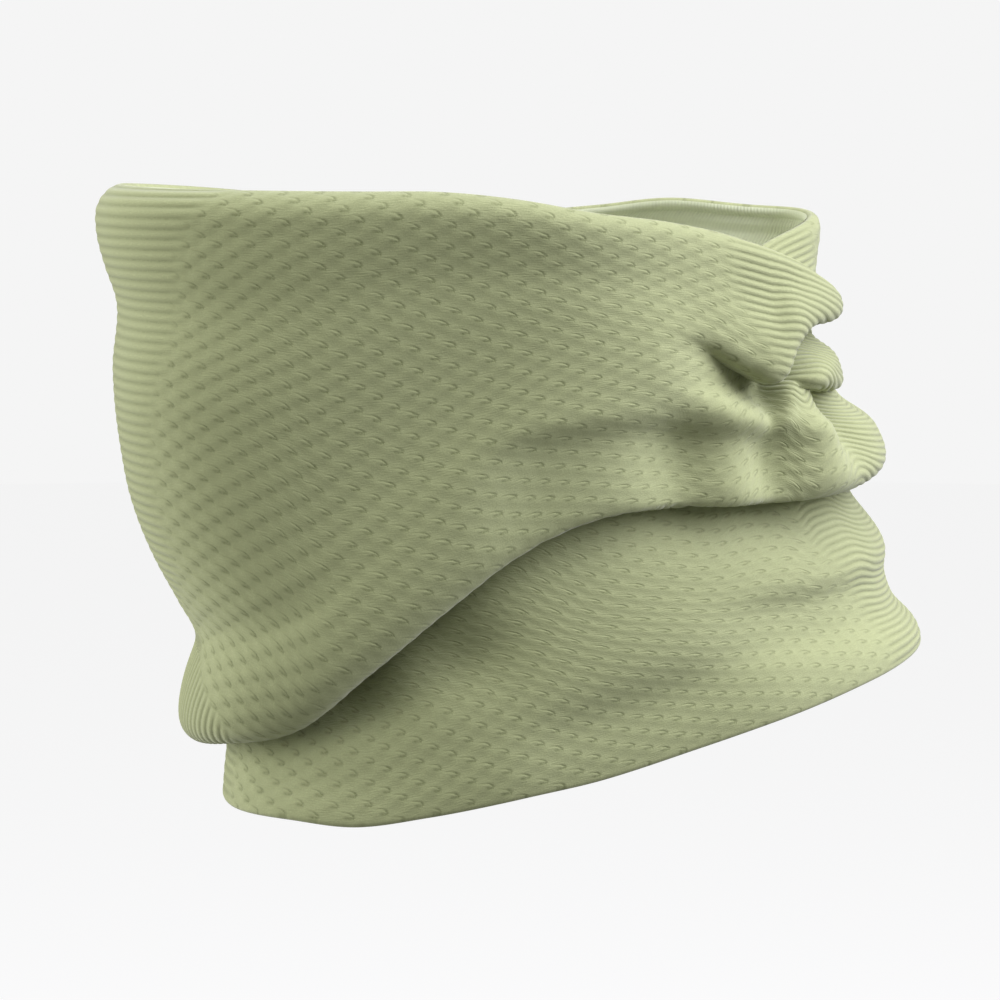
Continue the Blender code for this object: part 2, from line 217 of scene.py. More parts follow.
class NeckWarmerSizes(bpy.types.PropertyGroup):
    rim_rise: FloatProperty(
        name="Rim rise", description="Height of the rim above the origin at the chin",
        default=0.078, min=0.04, max=0.15, precision=4, unit="LENGTH")
    hem_drop: FloatProperty(
        name="Hem drop", description="Depth of the hem below the origin",
        default=0.072, min=0.04, max=0.15, precision=4, unit="LENGTH")
    chin_reach: FloatProperty(
        name="Chin reach", description="Distance from the neck's axis to the cloth at the chin",
        default=0.100, min=0.05, max=0.2, precision=4, unit="LENGTH")
    nape_reach: FloatProperty(
        name="Nape reach", description="Distance from the neck's axis to the cloth at the nape",
        default=0.085, min=0.05, max=0.2, precision=4, unit="LENGTH")
    left_reach: FloatProperty(
        name="Left reach", description="Distance from the neck's axis to the cloth on the wearer's left",
        default=0.059, min=0.04, max=0.12, precision=4, unit="LENGTH")
    right_reach: FloatProperty(
        name="Right reach", description="Distance from the neck's axis to the cloth on the wearer's right",
        default=0.058, min=0.04, max=0.12, precision=4, unit="LENGTH")
    wall: FloatProperty(
        name="Wall", description="Thickness of the knitted cloth",
        default=0.002, min=0.001, max=0.003, precision=4, unit="LENGTH")
    turn_wall: FloatProperty(
        name="Turned edge", description="Thickness of the cloth where its rim is turned in",
        default=0.003, min=0.001, max=0.005, precision=4, unit="LENGTH")
    turn_height: FloatProperty(
        name="Turned edge height", description="Depth of the turned edge below the rim",
        default=0.006, min=0.003, max=0.02, precision=4, unit="LENGTH")
    chin_square: FloatProperty(
        name="Chin squareness", description="Power added to the section's, towards the chin",
        default=0.7, min=0, max=3)
    rim_roll: FloatProperty(
        name="Rim roll", description="Radius of the bend with which the cloth leans in at the chin's rim",
        default=0.007, min=0.0, max=0.02, precision=4, unit="LENGTH")
    overlap: FloatProperty(
        name="Lip overlap", description="How far the folded lip lies over the cloth below it",
        default=0.015, min=0.0, max=0.03, precision=4, unit="LENGTH")
    lip_width: FloatProperty(
        name="Lip width", description="Size of the lip's bends",
        default=0.0055, min=0.002, max=0.02, precision=4, unit="LENGTH")
    lip_gap: FloatProperty(
        name="Lip gap", description="Step between the lip's layers of cloth",
        default=0.005, min=0.0, max=0.01, precision=4, unit="LENGTH")
    fold_depth: FloatProperty(
        name="Fold depth", description="Depth of the nape's folds and of the dents",
        default=0.010, min=0.0, max=0.02, precision=4, unit="LENGTH")
    gather_width: FloatProperty(
        name="Gather width", description="Size of the nape folds' bends",
        default=0.0045, min=0.002, max=0.02, precision=4, unit="LENGTH")
    dent_height: FloatProperty(
        name="Dent height", description="Height of a full dent",
        default=0.020, min=0.005, max=0.05, precision=4, unit="LENGTH")
    rib_relief: FloatProperty(
        name="Rib relief", description="Height of the ribs at the chin and the nape",
        default=0.00022, min=0.0, max=0.002, precision=5, unit="LENGTH")
    cell_relief: FloatProperty(
        name="Cell relief", description="Height of the raised cells on the side panels",
        default=0.00035, min=0.0, max=0.002, precision=5, unit="LENGTH")
    band: FloatProperty(
        name="Rib bands", description="Width of the ribbed bands, as a share of the widths in their table",
        default=1.0, min=0.0, max=1.5, precision=3)
    ribs: IntProperty(
        name="Ribs", description="Ribs from rim to hem", default=72, min=20, max=120)
    cells_round: IntProperty(
        name="Cells round", description="Raised cells round the whole tube", default=58, min=20, max=120)
    cells_down: IntProperty(
        name="Cells down", description="Raised cells from rim to hem", default=38, min=10, max=80)
    columns: IntProperty(
        name="Columns", description="Columns of faces in one quarter of the outer face",
        default=236, min=40, max=260)
    rows: IntProperty(
        name="Rows", description="Rows of faces from rim to hem on the outer face",
        default=360, min=60, max=380)
    inner_columns: IntProperty(
        name="Inner columns", description="Columns of faces round the inner face",
        default=472, min=80, max=600)
    inner_rows: IntProperty(
        name="Inner rows", description="Rows of faces from rim to hem on the inner face",
        default=130, min=40, max=160)


class NeckWarmerColours(bpy.types.PropertyGroup):
    cloth: FloatVectorProperty(
        name="Cloth", description="Colour of the knit's raised parts",
        default=(0.36, 0.39, 0.195), min=0, max=1, size=3, subtype="COLOR")
    # Painted shade: this dark colour is laid into the crevices between the raised cells and into the
    # grooves between the ribs, where shade falls.
    crevice: FloatVectorProperty(
        name="Crevice", description="Colour between the raised cells and between the ribs",
        default=(0.115, 0.135, 0.04), min=0, max=1, size=3, subtype="COLOR")
    inside: FloatVectorProperty(
        name="Inside", description="Colour of the inner face",
        default=(0.68, 0.72, 0.50), min=0, max=1, size=3, subtype="COLOR")
    roughness: FloatProperty(
        name="Roughness", description="Roughness of the yarn", default=0.8, min=0, max=1, subtype="FACTOR")
    floor: FloatVectorProperty(
        name="Floor", description="Colour of the studio's floor",
        default=(0.88, 0.88, 0.88), min=0, max=1, size=3, subtype="COLOR")
    backdrop: FloatVectorProperty(
        name="Backdrop", description="Colour of the air round the studio",
        default=(0.913, 0.913, 0.913), min=0, max=1, size=3, subtype="COLOR")


class StudioSizes(bpy.types.PropertyGroup):
    camera_distance: FloatProperty(
        name="Camera distance", description="Distance of the camera from the origin",
        default=1.15, min=0.3, max=10, unit="LENGTH")
    camera_rise: FloatProperty(
        name="Camera rise", description="Angle of the camera above the horizon",
        default=math.radians(6), min=-1.5, max=1.5, subtype="ANGLE")
    lens: FloatProperty(
        name="Lens", description="Focal length in millimetres", default=165.6, min=20, max=400)
    floor_drop: FloatProperty(
        name="Floor drop", description="Distance of the floor below the origin",
        default=0.6, min=0.08, max=3, unit="LENGTH")
    key_power: FloatProperty(
        name="Top light", description="Power of the large soft light overhead",
        default=17, min=0, max=500, unit="POWER")
    nape_power: FloatProperty(
        name="Nape light", description="Power of the soft light beyond the nape",
        default=36, min=0, max=500, unit="POWER")
    chin_power: FloatProperty(
        name="Chin light", description="Power of the soft light in front of the chin",
        default=24, min=0, max=500, unit="POWER")
    air: FloatProperty(
        name="Air light", description="Strength of the light that comes from all round",
        default=0.34, min=0, max=5)
    floor_glow: FloatProperty(
        name="Floor glow", description="Light of its own with which the camera sees the floor",
        default=0.93, min=0, max=5)


def curve(x, places, values, period=None):
    """A smooth curve through a table's rows, closed on itself when it has a period: between two rows, the
    cubic that has both values and both slopes, each slope taken from the rows on its two sides."""
    places = np.asarray(places, float)
    values = np.asarray(values, float)
    if period:
        places = np.concatenate([places[-2:] - period, places, places[:2] + period])
        values = np.concatenate([values[-2:], values, values[:2]])
        x = (x - places[2]) % period + places[2]
    x = np.clip(x, places[0], places[-1])
    gap = np.diff(places)
    rise = np.diff(values) / gap
    slope = np.zeros_like(values)
    slope[1:-1] = (rise[:-1] * gap[1:] + rise[1:] * gap[:-1]) / (gap[:-1] + gap[1:])
    i = np.clip(np.searchsorted(places, x, side="right") - 1, 0, len(gap) - 1)
    t = (x - places[i]) / gap[i]
    start = (2 * t**3 - 3 * t**2 + 1) * values[i] + (t**3 - 2 * t**2 + t) * gap[i] * slope[i]
    end = (3 * t**2 - 2 * t**3) * values[i + 1] + (t**3 - t**2) * gap[i] * slope[i + 1]
    return start + end


def bell(t):
    """One at t = 0, falling away on both sides as e to the power of minus half t squared."""
    return np.exp(-0.5 * t * t)


def turn_over(t):
    """Height that a fold's bend adds: the cloth sinks by 1 above the fold and rises by 1 below it."""
    return t * np.exp((1 - t * t) / 2)


def pocket(t):
    """Depth of a fold's hollow: steep under the fold, level at its bottom, steep again below."""
    return np.exp(-((t - 0.9) / 1.5) ** 4)


def layers(t):
    """Steps inwards at the lip's two bends, from 1 above the lip to -1 below it, fading away from it."""
    return -0.5 * (np.tanh((t + 1) / 0.4) + np.tanh((t - 1) / 0.4)) * bell(t / 3)


def cloth(azimuth, place, sizes):
    """Points half way through the wall, for arrays of azimuths and of places from 0 at the rim to 1 at the
    hem.

    The section is a rounded square: each half's reach comes from the tables, and the radius at an azimuth
    solves (x / reach) to the power of square + (y / reach) to the power of square = 1. Below the rim, the
    power grows towards the chin. Each fold then pushes the cloth outwards above itself and inwards below
    itself, and turns it over by lifting what is under the fold and sinking what is above it. A narrow bell
    rolls the lip's edge out. Dents push the cloth outwards or inwards by a bell in azimuth and height. At
    the rim the cloth leans in along a quarter of a circle, the larger the nearer the chin."""

    def level(share):
        """Height for a share: of the hem's drop below the origin, of the rim's rise above it."""
        return np.where(share < 0, share * sizes.hem_drop, share * sizes.rim_rise)

    edges = np.array(EDGES, float)
    rim, lip, lip_crest, lip_tuck, overlap, hem, brim = [
        curve(azimuth, edges[:, 0], edges[:, k], 360) for k in range(1, 8)]
    rim = level(rim)
    hem = level(hem)
    overlap = overlap * sizes.overlap
    middle = level(lip) + LIP_BEND * overlap
    above = rim + (middle - rim) * place / LIP_PLACE
    below = middle + (hem - middle) * (place - LIP_PLACE) / (1 - LIP_PLACE)
    height = np.where(place < LIP_PLACE, above, below)

    sections = np.array(SECTIONS, float)
    front, back, left, right, square = [
        curve(place, sections[:, 0], sections[:, k]) for k in range(1, 6)]
    angle = np.radians(azimuth)
    across = np.cos(angle)
    along = np.sin(angle)
    half_x = np.where(across > 0, left * sizes.left_reach, right * sizes.right_reach) - sizes.wall / 2
    half_y = np.where(along > 0, back * sizes.nape_reach, front * sizes.chin_reach) - sizes.wall / 2
    below_rim = np.clip((place - 0.05) / 0.2, 0, 1)
    square = square + sizes.chin_square * np.clip(-4 * along, 0, 1) * below_rim
    radius = ((np.abs(across) / half_x) ** square + (np.abs(along) / half_y) ** square) ** (-1 / square)
    x = radius * across
    y = radius * along
    out_x = np.sign(x) * np.abs(x / half_x) ** (square - 1) / half_x
    out_y = np.sign(y) * np.abs(y / half_y) ** (square - 1) / half_y
    length = np.hypot(out_x, out_y)

    depth = sizes.fold_depth
    t = (middle - height) / sizes.lip_width
    push = depth * (lip_crest * bell(t + 1.5) - lip_tuck * bell(t - 0.9)) + sizes.lip_gap * layers(t)
    push = push + depth * brim * bell((t + 0.8) / 0.6)
    lift = overlap * turn_over(t) * np.clip((height - hem) / (2 * sizes.lip_width), 0, 1)
    around = (azimuth + 90) % 360 - 90
    for rows in FOLDS.values():
        rows = np.array(rows, float)
        inside = (around > rows[0, 0]) & (around < rows[-1, 0])
        fold, width, crest, tuck, fold_overlap = [
            curve(around, rows[:, 0], rows[:, k]) for k in range(1, 6)]
        t = (level(fold) - height) / (width * sizes.gather_width)
        push = push + np.where(inside, depth * (crest * bell(t + 1.5) - tuck * pocket(t)), 0)
        lift = lift + np.where(inside, sizes.overlap * fold_overlap * turn_over(t), 0)
    for centre, dent, spread, tall, amount in DENTS.values():
        away = (azimuth - centre + 180) % 360 - 180
        rise = (height - level(dent)) / (tall * sizes.dent_height)
        push = push + depth * amount * bell(away / spread) * bell(rise)
    roll = sizes.rim_roll * np.clip(0.62 - 0.38 * along, 0.35, 1)
    near_rim = np.clip(1 - (rim - height) / roll, 0, 1)
    push = push - roll * (1 - np.sqrt(1 - 0.9 * near_rim**2))
    return np.stack([x + push * out_x / length, y + push * out_y / length, height + lift], -1)


def lengths(points):
    """Distance run along the second axis of a grid of points, from 0 at its start."""
    step = np.linalg.norm(np.diff(points, axis=1), axis=-1)
    return np.concatenate([np.zeros((len(points), 1)), np.cumsum(step, axis=1)], 1)


def look_up(wanted, known, values):
    """For each line of a grid, the values where its known numbers reach the wanted ones. The lines are laid
    end to end, each 2 further on than the last, so that one straight-line interpolation serves them all."""
    line = 2.0 * np.arange(len(known))[:, None]
    found = np.interp((wanted + line).ravel(), (known + line).ravel(), values.ravel())
    return found.reshape(wanted.shape)


def knit_grid(sizes, turn, down):
    """Azimuths and places where the cloth is the wanted shares of the way round and down the knit.

    Each column of the cloth is measured from rim to hem and each row from the chin round to the chin, along
    the cloth itself, so the rows and columns lie in it as knitted ones do, over and under each fold."""
    azimuths = np.linspace(-90, 270, MEASURE_ROUND + 1)
    places = np.linspace(0, 1, MEASURE_DOWN + 1)
    azimuth, place = np.meshgrid(azimuths, places, indexing="ij")
    run = lengths(cloth(azimuth, place, sizes))
    wanted = np.broadcast_to(down, (len(azimuths), len(down)))
    place = look_up(wanted, run / run[:, -1:], place)
    azimuth = np.broadcast_to(azimuths[:, None], place.shape)
    run = lengths(cloth(azimuth, place, sizes).transpose(1, 0, 2))
    share = run / run[:, -1:]
    whole = np.floor(turn)
    wanted = np.broadcast_to(turn - whole, (len(down), len(turn)))
    found = look_up(wanted, share, azimuth.T.copy()).T
    place = look_up((found.T + 90) / 360, (azimuth.T + 90) / 360, place.T.copy()).T
    return found, place


def unit(vectors):
    """Each vector divided by its length."""
    return vectors / np.maximum(np.linalg.norm(vectors, axis=-1, keepdims=True), 1e-12)


def normals_of(points):
    """Unit directions square to a grid of points that closes round the tube, from the steps on both sides
    of each point: the step down the knit crossed with the step round it."""
    round_it = np.roll(points, -1, 0) - np.roll(points, 1, 0)
    return unit(np.cross(np.gradient(points, axis=1), round_it))


def smooth_step(x, low, high):
    """0 below low, 1 above high, and three t squared minus two t cubed between them."""
    t = np.clip((x - low) / (high - low), 0, 1)
    return t * t * (3 - 2 * t)


def panel_share(turn, down, sizes):
    """1 on the side panels and 0 on the ribbed bands, stepped smoothly where the distance from the nearest
    band's middle passes that band's half width."""
    bands = np.array(BANDS, float)
    chin, near, far = [sizes.band * curve(down, bands[:, 0], bands[:, k]) for k in (1, 2, 3)]
    side = (turn + 0.5) % 1 - 0.5
    at_chin = smooth_step(np.abs(side) - chin, -0.008, 0.008)
    at_nape = smooth_step(0.5 - np.abs(side) - np.where(side > 0, near, far), -0.010, 0.010)
    return at_chin * at_nape


def cell_lines(turn, down):
    """Where the raised cells' rows and columns run: the rows rise a little towards the nape, by a sine of
    the share round, and the columns lean a little on their way down."""
    return turn - 0.04 * down, down + 0.035 * np.sin(2 * np.pi * (turn - 0.25))


def rib_lines(turn, down):
    """Where the ribs run: level round the tube, rising a little towards the nape, except on the chin's lip,
    where they turn down along the fold because they follow the distance from the chin's middle."""
    level = down + 0.02 * np.sin(2 * np.pi * (turn - 0.25))
    from_chin = np.abs((turn + 0.5) % 1 - 0.5)
    first, last = RIBS_FOLD
    along_fold = first + 2.95 * from_chin + 0.35 * (down - first)
    folded = smooth_step(down, first, first + 0.03) * (1 - smooth_step(down, last - 0.03, last))
    folded = folded * (from_chin < 0.2)
    return level + folded * (along_fold - level)


def relief(turn, down, sizes):
    """Height of the knit's ribs and cells over the cloth.

    A rib is a raised cosine down the knit, sharpened in its groove. A cell is a low pillow, the product of
    a cosine round and a cosine down, which puts every other row half a cell along. A crevice runs over its
    shoulder along a quarter of an ellipse."""
    panel = panel_share(turn, down, sizes)
    across, rows = cell_lines(turn, down)
    groove = 0.5 - 0.5 * np.cos(2 * np.pi * rib_lines(turn, down) * sizes.ribs)
    rib = np.sqrt(groove + 0.02) - 0.5
    p = across * sizes.cells_round
    q = rows * sizes.cells_down
    pillow = np.cos(2 * np.pi * (p + 0.27)) * np.cos(2 * np.pi * (q + 0.12))
    cut = np.zeros_like(p)
    for shift, strength in ((0.0, 1.0), (0.5, 0.55)):
        x = (p + shift + CELL_START) % 1 - CELL_START
        y = (q + shift + CELL_START) % 1 - CELL_START
        ring = np.hypot(x / SHOULDER_WIDTH + 1, y / SHOULDER_HEIGHT) - 1
        along = smooth_step(x, -SHOULDER_WIDTH, -0.08) * (y < 0.02) * strength
        cut = np.maximum(cut, bell(ring / 0.12) * along)
    cell = 0.30 * pillow - 0.10 * cut
    edge = np.clip(np.minimum(down, 1 - down) / 0.01, 0, 1)
    return edge * (sizes.cell_relief * panel * cell + sizes.rib_relief * (1 - panel) * rib)


def surface(name, points, uv, normals, bands=None):
    """A mesh of four-sided faces over a grid of points, facing the way that its normals point. It closes
    round the tube when its map has one column more than its points. Its map "knit" holds where each corner
    is among the knit's columns and rows. Its map "bands" holds how much of a side panel and how little of a
    ribbed band it is, and where it is among the ribs."""
    columns, rows = points.shape[:2]
    mesh = bpy.data.meshes.new(name)
    number = np.arange(columns * rows).reshape(columns, rows)
    if len(uv) > columns:
        number = np.concatenate([number, number[:1]])

    def corners(grid):
        """The four corners of each face, for a grid of one value or point for each vertex."""
        return np.stack([grid[:-1, :-1], grid[:-1, 1:], grid[1:, 1:], grid[1:, :-1]], 2)

    around = corners(number)
    count = around.shape[0] * around.shape[1]
    mesh.vertices.add(columns * rows)
    mesh.vertices.foreach_set("co", points.astype(np.float32).ravel())
    mesh.loops.add(count * 4)
    mesh.loops.foreach_set("vertex_index", around.ravel().astype(np.int32))
    mesh.polygons.add(count)
    mesh.polygons.foreach_set("loop_start", np.arange(0, count * 4, 4, dtype=np.int32))
    for label, grid in (("knit", uv), ("bands", bands)):
        if grid is not None:
            layer = mesh.uv_layers.new(name=label)
            layer.uv.foreach_set("vector", corners(grid).astype(np.float32).ravel())
    mesh.update(calc_edges=True)
    mesh.validate()
    mesh.shade_smooth()
    mesh.normals_split_custom_set_from_vertices(normals.reshape(-1, 3).astype(np.float32))
    thing = bpy.data.objects.new(name, mesh)
    bpy.context.scene.collection.objects.link(thing)
    return thing


def cloth_rows(sizes, turn, rows):
    """The share down the knit of each row, the points half way through the wall, their normals and the
    depth of the inner face below them.

    The inner face lies half a wall from the cloth's middle, a little further where the rim is turned in,
    and a little nearer along the line that is stitched under the turned edge."""
    down = np.linspace(0, 1, rows + 1)
    azimuth, place = knit_grid(sizes, turn, down)
    middle = cloth(azimuth, place, sizes)
    run = lengths(middle)
    turned = smooth_step(sizes.turn_height - run, -EDGE_SOFTNESS / 2, EDGE_SOFTNESS / 2)
    stitched = bell((run - sizes.turn_height + STITCH_DEPTH) / STITCH_WIDTH)
    inner_depth = sizes.wall / 2 + (sizes.turn_wall - sizes.wall) * turned - STITCH_DEPTH * stitched
    return down, middle, normals_of(middle), inner_depth


def edge_rows(centre, normal, beyond, half, start, end):
    """Rows of a rounded edge, from one angle to another: 0 is the outer side of the wall and pi the inner.
    Each point is the centre plus cosine times half the thickness through the wall and sine times half the
    thickness beyond the edge."""
    angle = np.linspace(start, end, EDGE_ROWS + 1)[None, :, None]
    return (centre[:, None] + normal[:, None] * half * np.cos(angle)
            + beyond[:, None] * half * np.sin(angle))


def rounded(sizes, face, middle, normal, side):
    """A face with its half of the rounded rim before it and of the rounded hem after it. Side: the angle of
    the face's own side of the wall, 0 for the outer and pi for the inner."""
    up = unit(middle[:, 0] - middle[:, 1])
    low = unit(middle[:, -1] - middle[:, -2])
    rim_half = sizes.turn_wall / 2
    rim_centre = middle[:, 0] - normal[:, 0] * (rim_half - sizes.wall / 2)
    rim = edge_rows(rim_centre, normal[:, 0], up, rim_half, math.pi / 2, side)
    hem = edge_rows(middle[:, -1], normal[:, -1], low, sizes.wall / 2, side, math.pi / 2)
    return np.concatenate([rim[:, :-1], face, hem[:, 1:]], 1)


def flat_size(middle):
    """Mean girth of the cloth and mean length from rim to hem, both measured along it."""
    round_it = np.concatenate([middle, middle[:1]]).transpose(1, 0, 2)
    return lengths(round_it)[:, -1].mean(), lengths(middle)[:, -1].mean()


class NodeMaker:
    """Puts nodes into a tree, so that a formula reads as one line for each step."""

    def __init__(self, tree):
        self.tree = tree

    def add(self, kind, **settings):
        node = self.tree.nodes.new(kind)
        for key, value in settings.items():
            setattr(node, key, value)
        return node

    def put(self, socket, value):
        if isinstance(value, bpy.types.NodeSocket):
            self.tree.links.new(value, socket)
        else:
            socket.default_value = value

    def math(self, operation, *values, clamp=False):
        node = self.add("ShaderNodeMath", operation=operation, use_clamp=clamp)
        for socket, value in zip(node.inputs, values):
            self.put(socket, value)
        return node.outputs[0]

    def between(self, value, low, high, start=0.0, end=1.0):
        node = self.add("ShaderNodeMapRange", interpolation_type="SMOOTHSTEP")
        self.put(node.inputs["Value"], value)
        node.inputs["From Min"].default_value = low
        node.inputs["From Max"].default_value = high
        node.inputs["To Min"].default_value = start
        node.inputs["To Max"].default_value = end
        return node.outputs["Result"]

    def bell(self, value, width):
        scaled = self.math("DIVIDE", value, width)
        square = self.math("MULTIPLY", scaled, scaled)
        return self.math("EXPONENT", self.math("MULTIPLY", square, -0.5))

    def mix(self, factor, first, second, blend="MIX"):
        node = self.add("ShaderNodeMix", data_type="RGBA", blend_type=blend)
        self.put(node.inputs[0], factor)
        self.put(node.inputs[6], first)
        self.put(node.inputs[7], second)
        return node.outputs[2]

    def noise(self, vector, scale, detail=2.0, roughness=0.5):
        node = self.add("ShaderNodeTexNoise")
        self.put(node.inputs["Vector"], vector)
        node.inputs["Scale"].default_value = scale
        node.inputs["Detail"].default_value = detail
        node.inputs["Roughness"].default_value = roughness
        return node.outputs[0]


def new_group(name, inputs, outputs):
    """An empty shader node group with number or vector inputs and number outputs."""
    tree = bpy.data.node_groups.new(name, "ShaderNodeTree")
    for label, kind, value in inputs:
        socket = tree.interface.new_socket(label, in_out="INPUT", socket_type=kind)
        if kind == "NodeSocketFloat":
            socket.default_value = value
    for label in outputs:
        tree.interface.new_socket(label, in_out="OUTPUT", socket_type="NodeSocketFloat")
    make = NodeMaker(tree)
    return tree, make, make.add("NodeGroupInput"), make.add("NodeGroupOutput")


def cells_group(sizes):
    """Masks of the raised knit, from the share round and down it.

    Crevice: the quarter ellipses and short feet between the raised cells, where the colour takes painted
    shade. Lip: a painted highlight, the lit edge inside each quarter ellipse and a soft lit patch before it
    starts. Groove: the valley between two ribs,
    painted shade. Ridge: the top of a rib, a painted highlight. Panel: 1 on the side panels and 0 on the
    bands. The first four also shape the bump."""
    tree, make, given, out = new_group(
        "raised cells and ribs",
        [("Knit", "NodeSocketVector", None), ("Bands", "NodeSocketVector", None),
         ("Cells Round", "NodeSocketFloat", sizes.cells_round),
         ("Cells Down", "NodeSocketFloat", sizes.cells_down), ("Ribs", "NodeSocketFloat", sizes.ribs)],
        ["Crevice", "Lip", "Groove", "Ridge", "Panel"])
    split = make.add("ShaderNodeSeparateXYZ")
    tree.links.new(given.outputs["Knit"], split.inputs[0])
    turn, down = split.outputs[0], split.outputs[1]
    wobble = make.add("ShaderNodeVectorMath", operation="MULTIPLY")
    tree.links.new(given.outputs["Knit"], wobble.inputs[0])
    wobble.inputs[1].default_value = (150, 60, 1)
    drift = make.math("MULTIPLY", make.math("SUBTRACT", make.noise(wobble.outputs[0], 1.0), 0.5), 0.16)
    p = make.math("ADD", make.math("MULTIPLY", turn, given.outputs["Cells Round"]), drift)
    q = make.math("MULTIPLY", down, given.outputs["Cells Down"])
    crevice = None
    lip = None
    for shift, strength in ((0.0, 1.0), (0.5, 0.85)):
        x = make.math("SUBTRACT", make.math("FRACT", make.math("ADD", p, shift + CELL_START)), CELL_START)
        y = make.math("SUBTRACT", make.math("FRACT", make.math("ADD", q, shift + CELL_START)), CELL_START)
        across = make.math("DIVIDE", make.math("ADD", x, SHOULDER_WIDTH), SHOULDER_WIDTH)
        tall = make.math("DIVIDE", y, SHOULDER_HEIGHT)
        ring = make.math("SQRT", make.math(
            "ADD", make.math("MULTIPLY", across, across), make.math("MULTIPLY", tall, tall)))
        ring = make.math("SUBTRACT", ring, 1.0)
        first = make.between(x, -0.46, -0.25, 0.0, 0.5)
        along = make.math("ADD", first, make.between(x, -0.25, -0.04, 0.0, 0.5))
        along = make.math("MULTIPLY", along, make.between(y, -0.01, 0.03, strength, 0.0))
        # Crevice marks: the arc and the foot darken the colour as painted shade, and they also sink the
        # bump.
        arc = make.math("MULTIPLY", make.bell(ring, 0.08), along)
        # Painted highlight: a lit band inside each quarter ellipse and a soft lit patch where the cell
        # starts. It also raises the bump.
        bright = make.math("MULTIPLY", make.bell(make.math("ADD", ring, 0.26), 0.10), along)
        patch = make.bell(make.math("ADD", x, 0.5), 0.10)
        patch = make.math("MULTIPLY", patch, make.bell(make.math("ADD", y, 0.2), 0.25))
        bright = make.math("MAXIMUM", bright, make.math("MULTIPLY", patch, strength))
        slant = make.math("SUBTRACT", y, make.math("MULTIPLY", x, 0.18))
        ends = make.math("MULTIPLY", make.between(x, -0.30, -0.14), make.between(x, 0.0, 0.04, 1.0, 0.0))
        foot = make.math("MULTIPLY", make.bell(slant, 0.06), ends)
        mark = make.math("MAXIMUM", arc, foot)
        crevice = mark if crevice is None else make.math("MAXIMUM", crevice, mark)
        lip = bright if lip is None else make.math("MAXIMUM", lip, bright)
    bands = make.add("ShaderNodeSeparateXYZ")
    tree.links.new(given.outputs["Bands"], bands.inputs[0])
    panel = bands.outputs[0]
    ribs = make.math("MULTIPLY", bands.outputs[1], given.outputs["Ribs"])
    wave = make.math("COSINE", make.math("MULTIPLY", ribs, 2 * math.pi))
    # Groove and ridge: painted shade in the rib valleys and a painted highlight on the rib tops.
    groove = make.math("POWER", make.math("MULTIPLY_ADD", wave, 0.5, 0.5), 3.0)
    ridge = make.math("POWER", make.math("MULTIPLY_ADD", wave, -0.5, 0.5), 3.0)
    tree.links.new(crevice, out.inputs["Crevice"])
    tree.links.new(lip, out.inputs["Lip"])
    tree.links.new(groove, out.inputs["Groove"])
    tree.links.new(ridge, out.inputs["Ridge"])
    tree.links.new(panel, out.inputs["Panel"])
    return tree


def strands_group():
    """Fine yarn, each from 0 to 1: strands drawn out round the tube, a soft fuzz over them, and the knit's
    finest courses, which show in patches as lines 0.6 mm apart."""
    tree, make, given, out = new_group(
        "fine strands", [("Knit", "NodeSocketVector", None)], ["Strand", "Fuzz", "Courses"])
    stretch = make.add("ShaderNodeVectorMath", operation="MULTIPLY")
    tree.links.new(given.outputs["Knit"], stretch.inputs[0])
    stretch.inputs[1].default_value = (520 / 1.6, 180 / 0.32, 1)
    tree.links.new(make.noise(stretch.outputs[0], 1.0, 2.0), out.inputs["Strand"])
    fuzz = make.add("ShaderNodeVectorMath", operation="MULTIPLY")
    tree.links.new(given.outputs["Knit"], fuzz.inputs[0])
    fuzz.inputs[1].default_value = (520, 180, 1)
    tree.links.new(make.noise(fuzz.outputs[0], 2.2, 2.0, 0.6), out.inputs["Fuzz"])
    split = make.add("ShaderNodeSeparateXYZ")
    tree.links.new(given.outputs["Knit"], split.inputs[0])
    wave = make.math("SINE", make.math("MULTIPLY", split.outputs[1], 2 * math.pi * 300))
    patch = make.between(make.noise(fuzz.outputs[0], 0.09, 1.0), 0.42, 0.62)
    courses = make.math("MULTIPLY", make.math("MULTIPLY_ADD", wave, 0.5, 0.5), patch)
    tree.links.new(courses, out.inputs["Courses"])
    return tree


def new_material(name, roughness):
    """A yarn material: rough, with little gloss and a soft sheen, its shader and its node maker."""
    material = bpy.data.materials.new(name)
    material.use_nodes = True
    shader = material.node_tree.nodes["Principled BSDF"]
    shader.inputs["Roughness"].default_value = roughness
    shader.inputs["Specular IOR Level"].default_value = 0.25
    shader.inputs["Sheen Weight"].default_value = 0.25
    shader.inputs["Sheen Roughness"].default_value = 0.5
    return material, shader, NodeMaker(material.node_tree)


def add_bump(make, shader, height, strength, distance):
    """Turns a height into the shader's normal."""
    bump = make.add("ShaderNodeBump")
    bump.inputs["Strength"].default_value = strength
    bump.inputs["Distance"].default_value = distance
    make.put(bump.inputs["Height"], height)
    make.put(shader.inputs["Normal"], bump.outputs[0])


